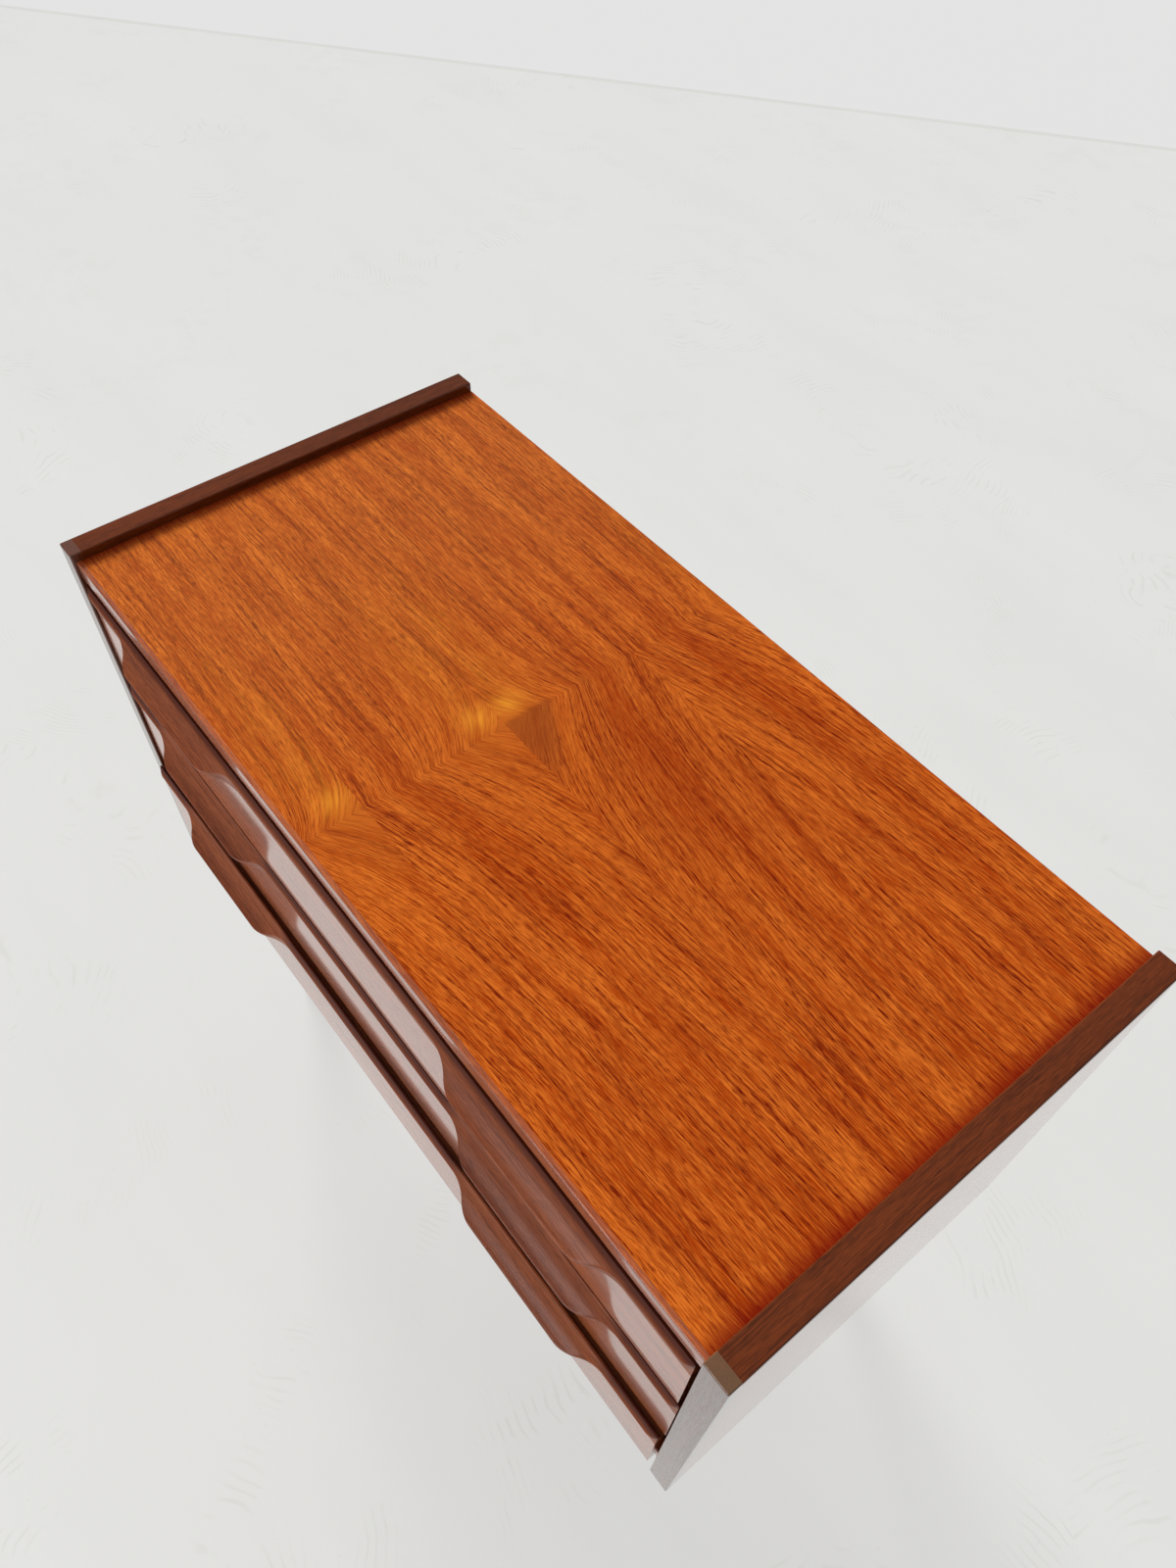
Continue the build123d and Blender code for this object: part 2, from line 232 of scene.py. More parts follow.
def wood_group():
    """Colour, roughness and height of wood whose grain runs along the first coordinate.

    The last number given to stretched only keeps one noise apart from the others.
    """
    net, given, end = new_group(
        "wood_grain",
        [("Along", FLOAT, 0.0), ("Across", FLOAT, 0.0), ("Deep", FLOAT, 0.0),
         ("Light", COLOUR, colour("c8702c")), ("Dark", COLOUR, colour("a04a1c")),
         ("Pore", COLOUR, colour("5c2410")), ("Pores", FLOAT, 0.7),
         ("Rings", FLOAT, 420.0), ("Bands", FLOAT, 1.0), ("Rough", FLOAT, 0.36)],
        [("Color", COLOUR), ("Roughness", FLOAT), ("Height", FLOAT)])

    def stretched(along, across, apart):
        return net.vector(net.plus(net.times(given["Along"], along), apart),
                          net.times(given["Across"], across),
                          net.times(given["Deep"], across))

    broad = net.step(net.noise(stretched(*BROAD_BANDS, 0.0), 3.0, 0.6), 0.36, 0.64)
    bundle = net.step(net.noise(stretched(*BUNDLES, 9.0)), 0.38, 0.62)
    line = net.noise(stretched(LINES_ALONG, given["Rings"], 5.0), 2.0, 0.6)
    line = net.step(line, net.step(bundle, 0.0, 1.0, 0.57, 0.48), 0.63)
    fibre = net.step(net.noise(stretched(*FIBRES, 3.0), 2.0, 0.7), 0.38, 0.62)
    band = net.plus(net.times(broad, BAND_SHARES[0]), net.times(fibre, BAND_SHARES[1]))
    band = net.plus(0.5, net.times(net.minus(band, 0.5), given["Bands"]))
    base = net.mix(band, given["Dark"], given["Light"])

    dashes = net.noise(stretched(*DASHES, 11.0), 1.0)
    dashes = net.plus(dashes, net.times(line, 0.05))
    dashes = net.plus(dashes, net.times(net.minus(bundle, 0.5), 0.04))
    dashes = net.step(dashes, 0.52, 0.63)
    pores = net.plus(net.times(line, LINE_DEPTH), net.times(dashes, DASH_DEPTH))
    pores = net.times(pores, given["Pores"])

    net.put(end.inputs["Color"], net.mix(pores, base, given["Pore"]))
    rough = net.plus(given["Rough"], net.times(net.minus(fibre, 0.5), 0.1))
    net.put(end.inputs["Roughness"], net.plus(rough, net.times(pores, 0.2)))
    net.put(end.inputs["Height"], net.minus(net.times(fibre, 0.25), pores))
    return net.tree


# The top's figure, in millimetres from the case's left side and front. A soft part of it
# is given by its middle's X, its middle's height and half of its width and of its height,
# where heights run across a leaf, but for the ruddy part from the case's front

LEAF = 121.5
FIRST_SEAM = 55.0
SEAM_WIDE = 0.5
CUSP = 370.0
DIP_LEFT = 24
DIP_RIGHT = 45
FAN_REACH = 130
FAN_DROP = 45
WAVE_HIGH = 9
WEDGE = (364, 370, 390, 455)
# Painted shadow beside the side panels: full within the first distance, gone by the second
SIDE_SHADE = (18, 36)
GOLD_CORE = (352, 108, 11, 13)
GOLD_TAIL = (290, 104, 95, 22)
CALM_PART = (378, 112, 26, 26)
RUDDY_PART = (480, 235, 105, 62)


def leaves_group():
    """The top's veneer: four matched leaves whose figure swirls near the middle.

    The grain follows the lines of equal Across, which bend down to a cusp and then
    fan out to the right. On the board's front edge it runs straight.
    """
    net, given, end = new_group(
        "matched_leaves", [("Vector", VECTOR, None)],
        [("Along", FLOAT), ("Across", FLOAT), ("Deep", FLOAT), ("Gold", FLOAT),
         ("Shade", FLOAT), ("Seam", FLOAT), ("Rim", FLOAT), ("Calm", FLOAT), ("Pale", FLOAT),
         ("Ruddy", FLOAT)])
    split = net.add("ShaderNodeSeparateXYZ", {"Vector": given["Vector"]})
    left_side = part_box("left_side_panel")[0].x
    right_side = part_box("right_side_panel")[1].x
    case_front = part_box("left_front_edging")[0].y
    x = net.times(net.minus(split.outputs["X"], left_side), 1 / MM)
    y = net.times(net.minus(split.outputs["Y"], case_front), 1 / MM)

    past = net.minus(y, FIRST_SEAM)
    in_first = net.math("LESS_THAN", past, 0.0)
    across = net.plus(net.times(in_first, net.plus(past, LEAF)),
                      net.times(net.minus(1.0, in_first), net.math("PINGPONG", past, LEAF)))
    leaf = net.math("FLOOR", net.over(past, LEAF))

    beside = net.minus(x, CUSP)
    to_left = net.times(net.least(beside, 0.0), -1.0)
    to_right = net.most(beside, 0.0)
    dip = net.times(net.fade(to_left, DIP_LEFT), net.fade(to_right, DIP_RIGHT))
    dip = net.times(dip, net.step(across, 10, 112, 4, 26))
    dip = net.times(dip, net.step(past, 1.5 * LEAF, 2.2 * LEAF, 1.0, 0.25))
    fan = net.times(net.minus(1.0, net.fade(to_right, FAN_REACH)), FAN_DROP)
    wave = net.noise(net.vector(net.times(x, 0.008), net.times(y, 0.02), leaf))
    grain = net.minus(net.plus(across, dip), fan)
    grain = net.plus(grain, net.times(net.minus(wave, 0.5), WAVE_HIGH))

    def soft(height, middle_x, middle_height, half_wide, half_high):
        """How much of a soft part is at a place: 1 in its middle, 1 / e at its rim."""
        dx = net.over(net.minus(x, middle_x), half_wide)
        dy = net.over(net.minus(height, middle_height), half_high)
        return net.fade(net.plus(net.times(dx, dx), net.times(dy, dy)), 1.0)

    streaks = net.noise(net.vector(net.times(x, 0.03), net.times(grain, 0.4), leaf))
    streaks = net.step(streaks, 0.3, 0.7)
    gold = net.times(soft(across, *GOLD_CORE), net.plus(0.35, net.times(streaks, 0.5)))
    gold = net.plus(gold, net.times(soft(across, *GOLD_TAIL), net.times(streaks, 0.28)))

    start, full, fall, stop = WEDGE
    shade = net.times(net.step(x, start, full), net.step(x, fall, stop, 1.0, 0.0))
    shade = net.times(shade, net.step(grain, 96, 106))
    in_second = net.math("COMPARE", leaf, 1.0, 0.5)
    shade = net.times(shade, net.step(in_second, 0.0, 1.0, 0.1, 1.0))

    # Nearness to either side panel, where shadow is painted
    inset = net.least(x, net.minus((right_side - left_side) / MM, x))
    past_seam = net.math("MODULO", net.plus(past, 2 * LEAF), LEAF)
    calm = net.least(net.times(soft(across, *CALM_PART), 1.3), 1.0)
    drift = net.noise(net.vector(net.times(x, 0.012), net.times(grain, 0.045), net.plus(leaf, 7.0)))
    ruddy = net.plus(net.step(drift, 0.45, 0.65, 0.0, 0.32), soft(y, *RUDDY_PART))

    under, over = (corner.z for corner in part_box("top_panel"))
    height = split.outputs["Z"]
    below = net.step(height, over - 0.4 * MM, over - 0.2 * MM, 1.0, 0.0)
    on_edge = net.times(below, net.step(height, under + 0.2 * MM, under + 0.4 * MM))
    flat = net.times(grain, net.times(net.minus(1.0, on_edge), MM))

    # Two of these shares paint light rather than figure: the pale one a sheen toward the left, the one
    # by the sides shadow beside the side panels
    for name, value in (
            ("Along", net.times(x, MM)), ("Across", net.plus(flat, net.times(height, on_edge))),
            ("Deep", net.times(leaf, MM)), ("Gold", gold), ("Shade", shade),
            ("Seam", net.step(past_seam, 0.0, SEAM_WIDE, 1.0, 0.0)),
            ("Rim", net.step(inset, *SIDE_SHADE, 1.0, 0.0)), ("Calm", calm),
            ("Pale", net.step(x, 480, 130)), ("Ruddy", net.least(ruddy, 1.0))):
        net.put(end.inputs[name], value)
    return net.tree


# Materials

GRAIN_BUMP = 0.25
GRAIN_DEEP = 0.0004
SKIN_INDEX = 1.4
POLISH = 0.09


def new_material(name, preview):
    """A material with its net and its Principled node; preview colours the solid view."""
    material = bpy.data.materials.new(name)
    material.use_nodes = True
    material.diffuse_color = colour(preview)
    net = Net(material.node_tree)
    shader = next(n for n in material.node_tree.nodes if n.type == "BSDF_PRINCIPLED")
    return material, net, shader


def finish_with(net, shader, grain, shown):
    """Joins a wood group's roughness and height to the shader, and the colour shown."""
    net.put(shader.inputs["Base Color"], shown)
    net.put(shader.inputs["Roughness"], grain["Roughness"])
    bumped = net.add("ShaderNodeBump", {
        "Strength": GRAIN_BUMP, "Distance": GRAIN_DEEP, "Height": grain["Height"]})
    net.put(shader.inputs["Normal"], bumped.outputs[0])


def oil(shader, coat, specular, polish):
    """The thin oiled skin: hardly seen from above, nearly a mirror along the surface."""
    shader.inputs["Specular IOR Level"].default_value = specular
    shader.inputs["Coat Weight"].default_value = coat
    shader.inputs["Coat IOR"].default_value = SKIN_INDEX
    shader.inputs["Coat Roughness"].default_value = polish


def wood(name, axes, light, dark, pore, pores=0.7, rough=0.36, rings=420.0, coat=1.0,
         specular=0.5, polish=POLISH, touch=None):
    """A wood whose grain runs along the first of the three axes named.

    touch gives a share and a colour to lay over the grain in places.
    """
    material, net, shader = new_material(name, light)
    split = net.add("ShaderNodeSeparateXYZ", {"Vector": object_place(net)})
    along, across, deep = (split.outputs[axis] for axis in axes)
    grain = net.group(WOOD, {
        "Along": along, "Across": across, "Deep": deep,
        "Light": colour(light), "Dark": colour(dark), "Pore": colour(pore),
        "Pores": pores, "Rings": rings, "Rough": rough})
    shown = grain["Color"]
    if touch:
        share, over = touch(net, split.outputs)
        shown = net.mix(share, shown, over)
    finish_with(net, shader, grain, shown)
    oil(shader, coat, specular, polish)
    return material


def painted_ridge_shade(net, place):
    """Painted shade: darkens the first millimetres below a lip's ridge, where the lip lies in shade.

    On the two lower lips the pulls are left without it.
    """
    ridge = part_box("top_drawer_lip")[1].z
    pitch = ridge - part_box("middle_drawer_lip")[1].z
    down = net.minus(ridge, place["Z"])
    below = net.math("WRAP", down, pitch - 2 * MM, -2 * MM)
    away = net.math("ABSOLUTE", place["X"])
    pull = net.times(net.step(away, (PULL_INNER - 10) * MM, (PULL_INNER + 20) * MM),
                     net.step(away, (PULL_OUTER - 20) * MM, (PULL_OUTER + 10) * MM, 1.0, 0.0))
    unshaded_pulls = net.times(pull, net.math("GREATER_THAN", down, pitch / 2))
    dark = net.step(below, 1 * MM, 7 * MM, 0.85, 0.0)
    return net.times(dark, net.minus(1.0, unshaded_pulls)), colour("440a02")


def end_grain(net, place):
    """The upper end of the right side's front edging is worn to paler end grain."""
    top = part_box("right_front_edging")[1].z
    worn = net.step(place["Z"], top - 0.9 * MM, top - 0.4 * MM, 0.0, 0.6)
    return net.times(worn, net.math("GREATER_THAN", place["X"], 0.0)), colour("6a4e2e")


def top_veneer():
    """The top's matched leaves, with each part of the figure laid over the grain, and over it a painted
    sheen on the left and painted shadow beside the side panels.
    """
    material, net, shader = new_material("oiled_teak_top", "b0541c")
    leaves = net.group(LEAVES, {"Vector": object_place(net)})
    grain = net.group(WOOD, {
        "Along": leaves["Along"], "Across": leaves["Across"], "Deep": leaves["Deep"],
        "Light": colour("d66e22"), "Dark": colour("a43c04"), "Pore": colour("701a02"),
        "Pores": net.minus(1.0, net.times(leaves["Calm"], 0.45)),
        "Bands": net.minus(1.35, net.times(leaves["Calm"], 0.5)), "Rings": 480.0, "Rough": 0.4})
    shown = grain["Color"]
    for part, strength, tint in (
            # the first share here paints a sheen toward the left
            ("Pale", 0.08, "f4b468"), ("Ruddy", 0.3, "862806"), ("Gold", 1.0, "e08a28"),
            # the last share here paints shadow beside the side panels
            ("Shade", 0.5, "7a3414"), ("Seam", 0.35, "7a3414"), ("Rim", 0.8, "780a04")):
        shown = net.mix(net.times(leaves[part], strength), shown, colour(tint))
    finish_with(net, shader, grain, shown)
    oil(shader, coat=0.0, specular=0.06, polish=POLISH)
    return material


def plain(name, base, rough, metallic=0.0):
    """A plain finish with small cloudy differences in colour and gloss."""
    material, net, shader = new_material(name, base)
    cloud = net.noise(net.scaled(object_place(net), 260, 260, 260), 4.0, 0.6)
    darkest = (*(0.76 * part for part in colour(base)[:3]), 1.0)
    net.put(shader.inputs["Base Color"], net.mix(cloud, darkest, colour(base)))
    net.put(shader.inputs["Roughness"], net.step(cloud, 0.2, 0.8, rough - 0.06, rough + 0.08))
    shader.inputs["Metallic"].default_value = metallic
    return material


WOOD = wood_group()
LEAVES = leaves_group()
TEAK = {"light": "c86626", "dark": "963e14", "pore": "4c1c0a"}
LIP_TEAK = {"light": "a65a34", "dark": "844228", "pore": "482012"}
EDGE_TEAK = {"light": "733312", "dark": "53230a", "pore": "260d04"}
BEECH = {"light": "d8b084", "dark": "c49a6c", "pore": "a07848", "pores": 0.35, "rough": 0.42,
         "coat": 0.3}
BIRCH = {"light": "dcc298", "dark": "ccae80", "pore": "b08c5c", "pores": 0.2, "rough": 0.5,
         "rings": 300.0, "coat": 0.0}
FINISH = {
    "top": top_veneer(),
    "teak_x": wood("oiled_teak_along_x", "XZY", **TEAK),
    "teak_z": wood("oiled_teak_upright", "ZYX", **TEAK),
    "edging": wood("teak_board_edging", "XZY", **TEAK, pores=0.5),
    # The carved lips carry painted shade below each ridge
    "lip": wood("carved_teak_along_x", "XZY", **LIP_TEAK, pores=0.5, coat=0.6,
                specular=0.0, polish=0.3, touch=painted_ridge_shade),
    "edge_y": wood("dark_teak_along_y", "YXZ", **EDGE_TEAK, pores=0.5, coat=0.7, specular=0.0),
    "edge_z": wood("dark_teak_upright", "ZXY", **EDGE_TEAK, pores=0.5, touch=end_grain),
    "beech_x": wood("lacquered_beech_along_x", "XZY", **BEECH),
    "beech_y": wood("lacquered_beech_along_y", "YZX", **BEECH),
    "plywood": wood("birch_plywood", "XYZ", **BIRCH),
    "plywood_z": wood("birch_plywood_back", "ZXY", **BIRCH),
    "steel": plain("zinc_plated_steel", "a8a8a2", 0.34, metallic=1.0),
    "nylon": plain("dark_nylon", "3a332d", 0.5),
}

# The finish of each node by how its name ends: the first that fits, and otherwise steel
FINISH_OF_ENDING = {
    "top_panel": "top",
    "side_panel": "teak_z",
    "bottom_panel": "teak_x",
    "bottom_front_edging": "teak_x",
    "drawer_front": "teak_x",
    "top_front_edging": "edging",
    "top_edging": "edge_y",
    "front_edging": "edge_z",
    "leg": "edge_z",
    "lip": "lip",
    "wall": "beech_y",
    "runner": "beech_y",
    "drawer_back": "beech_x",
    "rail": "beech_x",
    "dowels": "beech_x",
    "back_panel": "plywood_z",
    "drawer_bottom": "plywood",
    "foot_glide": "nylon",
}


def dress_nodes():
    for name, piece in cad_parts.items():
        fitting = [finish for ending, finish in FINISH_OF_ENDING.items() if name.endswith(ending)]
        for place in piece.material_slots:
            place.link = "OBJECT"
            place.material = FINISH[fitting[0] if fitting else "steel"]


# The carved lips

def arc_through(start, middle, end):
    """Centre and radius of the circle through three points."""
    ax, ay = start
    bx, by = middle
    cx, cy = end
    d = 2 * (ax * (by - cy) + bx * (cy - ay) + cx * (ay - by))
    a2, b2, c2 = ax * ax + ay * ay, bx * bx + by * by, cx * cx + cy * cy
    ux = (a2 * (by - cy) + b2 * (cy - ay) + c2 * (ay - by)) / d
    uy = (a2 * (cx - bx) + b2 * (ax - cx) + c2 * (bx - ax)) / d
    return ux, uy, math.hypot(ax - ux, ay - uy)


# The front of the full section: a hollow arc from the ridge out to the round tip,
# and another from the tip back under it
UPPER_ARC = arc_through((0, 0), (-6.1, -9.1), (-16, -15.2))
LOWER_ARC = arc_through((-16, -17.8), (-5, -20.5), (0, -28))
TIP = (-15.7, -16.5, 1.3)
TIP_SHARE = 0.9


def full_section(z):
    """The full section's front at a height: 0 below the ridge, and less further forward."""
    above = z - TIP[1]
    if abs(above) <= TIP[2] * TIP_SHARE:
        (y, middle, radius), side = TIP, -1
    else:
        (y, middle, radius), side = (UPPER_ARC if above > 0 else LOWER_ARC), 1
    return y + side * math.sqrt(max(radius * radius - (z - middle) ** 2, 0.0))


def stations(stops, steps):
    """Places from the first stop to the last, with a number of steps between each pair."""
    values = [stops[0]]
    for low, high, count in zip(stops, stops[1:], steps):
        values += [low + (high - low) * i / count for i in range(1, count + 1)]
    return values


def lip_stations(half_length):
    """Places along the lip, close together where its outline bends."""
    half = stations([0, PULL_INNER, PULL_INNER + PULL_CURVE, PULL_OUTER - PULL_CURVE, PULL_OUTER,
                     half_length - END_ROUND, half_length], [6, 30, 10, 30, 4, 8])
    return [-x for x in reversed(half[1:])] + half


LIP_LEVELS = stations([0, -2, -6, -13, -15.4, -17.7, -18.6, -21, -28], [4, 8, 10, 8, 12, 6, 8, 10])


def lip_blank(half_length):
    """A straight bar with the lip's full section, in millimetres from its middle on the ridge."""
    back = [(LIP_BACK, -LIP_TALL), (LIP_BACK, -HOLLOW_TOP), (2 * RIDGE, -HOLLOW_TOP),
            (RIDGE, -RIDGE_ARRIS), (RIDGE - RIDGE_ARRIS, 0)]
    section = [(min(full_section(z), 0.0), z) for z in LIP_LEVELS] + back
    mesh = bmesh.new()
    rings = [[mesh.verts.new((x, y, z)) for y, z in section] for x in lip_stations(half_length)]
    for ring, following in zip(rings, rings[1:]):
        for i in range(len(section)):
            j = (i + 1) % len(section)
            mesh.faces.new((ring[i], ring[j], following[j], following[i]))
    mesh.faces.new(list(reversed(rings[0])))
    mesh.faces.new(rings[-1])
    bmesh.ops.recalc_face_normals(mesh, faces=mesh.faces)
    data = bpy.data.meshes.new("lip_blank")
    mesh.to_mesh(data)
    mesh.free()
    return data


def end_tree(net, end, shape, material):
    """Makes a tree's shape real and gives it its material."""
    real = net.add("GeometryNodeRealizeInstances", {"Geometry": shape})
    covered = net.add("GeometryNodeSetMaterial", {"Geometry": real.outputs[0], "Material": material})
    net.put(end.inputs["Geometry"], covered.outputs[0])


def carving_tree():
    """Cuts the blank bar back to the lip's outline from above, then sets it in its place.

    Sizes are millimetres. Between Inner and Outer from the middle, on either side, the
    outline swings out from Reach to Pull Reach in an S of two arcs, each half of Curve long.
    Down to Upright the cut is plumb, and below it Taper draws it in.
    """
    net, given, end = new_group(
        "carve_lip",
        [("Blank", GEOMETRY, None), ("Half Length", FLOAT, 380.0), ("Reach", FLOAT, LIP_REACH),
         ("Upright", FLOAT, UPRIGHT), ("Pull Reach", FLOAT, PULL_REACH), ("Inner", FLOAT, PULL_INNER),
         ("Outer", FLOAT, PULL_OUTER), ("Curve", FLOAT, PULL_CURVE), ("End Round", FLOAT, END_ROUND),
         ("Taper", FLOAT, TAPER), ("Arris", FLOAT, ARRIS), ("Place", VECTOR, None),
         ("Wood", MATERIAL, None)],
        [("Geometry", GEOMETRY)], "GeometryNodeTree")
    place = net.add("ShaderNodeSeparateXYZ", {"Vector": net.add("GeometryNodeInputPosition").outputs[0]})
    x, y, z = place.outputs
    away = net.math("ABSOLUTE", x)
    into = net.least(net.minus(away, given["Inner"]), net.minus(given["Outer"], away))
    half = net.times(given["Curve"], 0.5)
    rise = net.times(net.minus(given["Pull Reach"], given["Reach"]), 0.5)
    squares = net.plus(net.times(half, half), net.times(rise, rise))
    radius = net.over(squares, net.times(rise, 2.0))

    def swing(run):
        """How far an arc that starts level has swung out after a run, up to half the curve."""
        run = net.least(net.most(run, 0.0), half)
        left = net.minus(net.times(radius, radius), net.times(run, run))
        return net.minus(radius, net.math("SQRT", left))

    reach = net.plus(given["Reach"], net.plus(swing(into), rise))
    reach = net.minus(reach, swing(net.minus(given["Curve"], into)))
    below = net.most(net.times(net.plus(z, given["Upright"]), -1.0), 0.0)
    wall = net.minus(net.times(below, given["Taper"]), reach)
    straight = net.minus(given["Half Length"], given["End Round"])
    ending = net.over(net.most(net.minus(away, straight), 0.0), given["End Round"])
    wall = net.plus(wall, net.times(given["Reach"], net.times(ending, ending)))
    cut = net.math("SMOOTH_MAX", y, wall, net.times(given["Arris"], 2.0))
    cut = net.vector(x, net.least(cut, 0.0), z)
    front = net.add("FunctionNodeCompare", {0: y, 1: 0.001}, data_type="FLOAT", operation="LESS_THAN")
    carved = net.add("GeometryNodeSetPosition", {
        "Geometry": given["Blank"], "Selection": front.outputs[0], "Position": cut})
    placed = net.add("GeometryNodeTransform", {
        "Geometry": carved.outputs[0], "Translation": given["Place"], "Scale": (MM, MM, MM)})
    end_tree(net, end, placed.outputs[0], given["Wood"])
    return net.tree


CARVING = carving_tree()


def grown(name, start, tree, values):
    """The plain mesh that a tree makes from a starting mesh, which is used up."""
    holder = bpy.data.objects.new(name, start)
    bpy.context.scene.collection.objects.link(holder)
    grower = holder.modifiers.new(tree.name, "NODES")
    grower.node_group = tree
    for socket in tree.interface.items_tree:
        if socket.name in values:
            grower[socket.identifier] = values[socket.name]
    sight = bpy.context.evaluated_depsgraph_get()
    made = bpy.data.meshes.new_from_object(holder.evaluated_get(sight))
    made.name = name
    holder.modifiers.clear()
    bpy.data.objects.remove(holder)
    bpy.data.meshes.remove(start)
    return made


def mesh_piece(name, mesh, material, crease=30):
    """An object from a bmesh, smooth but for edges that turn more than crease degrees."""
    bmesh.ops.triangulate(mesh, faces=[f for f in mesh.faces if len(f.verts) > 4])
    for face in mesh.faces:
        face.smooth = True
    for edge in mesh.edges:
        edge.smooth = edge.calc_face_angle(0.0) < math.radians(crease)
    data = bpy.data.meshes.new(name)
    mesh.to_mesh(data)
    mesh.free()
    data.materials.append(material)
    piece = bpy.data.objects.new(name, data)
    bpy.context.scene.collection.objects.link(piece)
    return piece


def make_lip(drawer):
    """A drawer's carved lip, in place of the model's plainer one."""
    node = f"{drawer}_lip"
    low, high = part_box(node)
    half_length = (high.x - low.x) / 2 / MM
    place = ((low.x + high.x) / 2, high.y - LIP_BACK * MM, high.z)
    carved = grown(f"{node}_carved", lip_blank(half_length), CARVING,
                   {"Half Length": half_length, "Place": place, "Wood": FINISH["lip"]})
    mesh = bmesh.new()
    mesh.from_mesh(carved)
    bpy.data.meshes.remove(carved)
    piece = mesh_piece(f"{drawer}_carved_lip", mesh, FINISH["lip"], crease=32)
    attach(piece, drawer)
    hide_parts(node)


# Screws and pins, in millimetres, set at places by one tree

HEAD_RADIUS = 4.0
HEAD_DEEP = 2.4
HEAD_ARRIS = 0.3
SHANK_RADIUS = 2.0
POINT_LONG = 2.0
POINT_RADIUS = 0.3
CROSS_ARM = 2.1
CROSS_WIDE = 0.55
CROSS_DEEP = 1.5
CROSS_FOOT = 0.45
BACK_SCREW = 22
PLATE_SCREW = 16
PIN_COUNT = 9
PIN_RADIUS = 1.5
PIN_TOP_RADIUS = 1.1
PIN_THICK = 0.9
PIN_OFF = 0.3
FACING_BACK = (-math.pi / 2, 0, 0)
FACING_DOWN = (math.pi, 0, 0)


def screw_shape(length):
    """A countersunk screw with a cross recess, its head's face at Z = 0, pointing down."""
    mesh = bmesh.new()
    arm, half = CROSS_ARM * MM, CROSS_WIDE * MM
    cross = [(arm, -half), (arm, half), (half, half), (half, arm), (-half, arm), (-half, half),
             (-arm, half), (-arm, -half), (-half, -half), (-half, -arm), (half, -arm), (half, -half)]
    mouth = [mesh.verts.new((x, y, 0)) for x, y in cross]
    pit = [mesh.verts.new((x * CROSS_FOOT, y * CROSS_FOOT, -CROSS_DEEP * MM)) for x, y in cross]
    turns = [math.atan2(y, x) for x, y in cross]

    def ring(radius, z):
        return [mesh.verts.new((radius * MM * math.cos(a), radius * MM * math.sin(a), z * MM))
                for a in turns]

    rings = [pit, mouth, ring(HEAD_RADIUS - HEAD_ARRIS, 0),
             ring(HEAD_RADIUS, -HEAD_ARRIS / 2),
             ring(SHANK_RADIUS, -HEAD_DEEP), ring(SHANK_RADIUS, POINT_LONG - length),
             ring(POINT_RADIUS, -length)]
    for first, second in zip(rings, rings[1:]):
        for i in range(len(turns)):
            j = (i + 1) % len(turns)
            mesh.faces.new((first[i], first[j], second[j], second[i]))
    mesh.faces.new(list(reversed(rings[0])))
    mesh.faces.new(rings[-1])
    bmesh.ops.recalc_face_normals(mesh, faces=mesh.faces)
    return mesh_piece("one_screw", mesh, FINISH["steel"])


def pin_shape():
    """The flat round head of a panel pin, standing a little off the wood."""
    mesh = bmesh.new()
    bmesh.ops.create_cone(mesh, cap_ends=True, segments=16, radius1=PIN_RADIUS * MM,
                          radius2=PIN_TOP_RADIUS * MM, depth=PIN_THICK * MM)
    return mesh_piece("one_pin", mesh, FINISH["steel"])


def setting_tree():
    """Sets one shape at every vertex of a mesh, aimed one way and turned at random."""
    net, given, end = new_group(
        "set_at_places",
        [("Places", GEOMETRY, None), ("Shape", OBJECT, None), ("Metal", MATERIAL, None),
         ("Aim", VECTOR, None), ("Turn", FLOAT, math.tau), ("Seed", WHOLE, 1)],
        [("Geometry", GEOMETRY)], "GeometryNodeTree")
    shape = net.add("GeometryNodeObjectInfo", {"Object": given["Shape"]})
    chance = net.add("FunctionNodeRandomValue", {"Seed": given["Seed"]}, data_type="FLOAT")
    net.put(chance.inputs[2], 0.0)
    net.put(chance.inputs[3], given["Turn"])
    spin = net.vector(0.0, 0.0, chance.outputs[1])
    own = net.add("FunctionNodeEulerToRotation", {0: spin})
    aim = net.add("FunctionNodeEulerToRotation", {0: given["Aim"]})
    both = net.add("FunctionNodeRotateRotation", {
        "Rotation": aim.outputs[0], "Rotate By": own.outputs[0]}, rotation_space="LOCAL")
    placed = net.add("GeometryNodeInstanceOnPoints", {
        "Points": given["Places"], "Instance": shape.outputs["Geometry"], "Rotation": both.outputs[0]})
    end_tree(net, end, placed.outputs[0], given["Metal"])
    return net.tree


SETTING = setting_tree()


def set_at(name, body, places, shape, aim, seed, replaced=None):
    """One mesh of a steel shape repeated at places, riding on a body."""
    data = bpy.data.meshes.new(f"{name}_places")
    data.from_pydata([Vector(place) for place in places], [], [])
    made = grown(name, data, SETTING,
                 {"Shape": shape, "Metal": FINISH["steel"], "Aim": aim, "Seed": seed})
    piece = bpy.data.objects.new(name, made)
    bpy.context.scene.collection.objects.link(piece)
    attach(piece, body)
    if replaced:
        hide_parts(replaced)


def loose_boxes(node):
    """The low and high corners of the box round each separate solid in a node of the model."""
    mesh = bmesh.new()
    mesh.from_mesh(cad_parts[node].data)
    bmesh.ops.remove_doubles(mesh, verts=mesh.verts, dist=MM / 100)
    left = set(mesh.verts)
    boxes = []
    while left:
        found = {left.pop()}
        edge = list(found)
        while edge:
            vert = edge.pop()
            near = {link.other_vert(vert) for link in vert.link_edges} & left
            left -= near
            found |= near
            edge += near
        spots = [v.co for v in found]
        low = Vector([min(c[i] for c in spots) for i in range(3)])
        high = Vector([max(c[i] for c in spots) for i in range(3)])
        boxes.append((low, high))
    mesh.free()
    return sorted(boxes, key=lambda box: [round(c / MM) for c in box[0]])


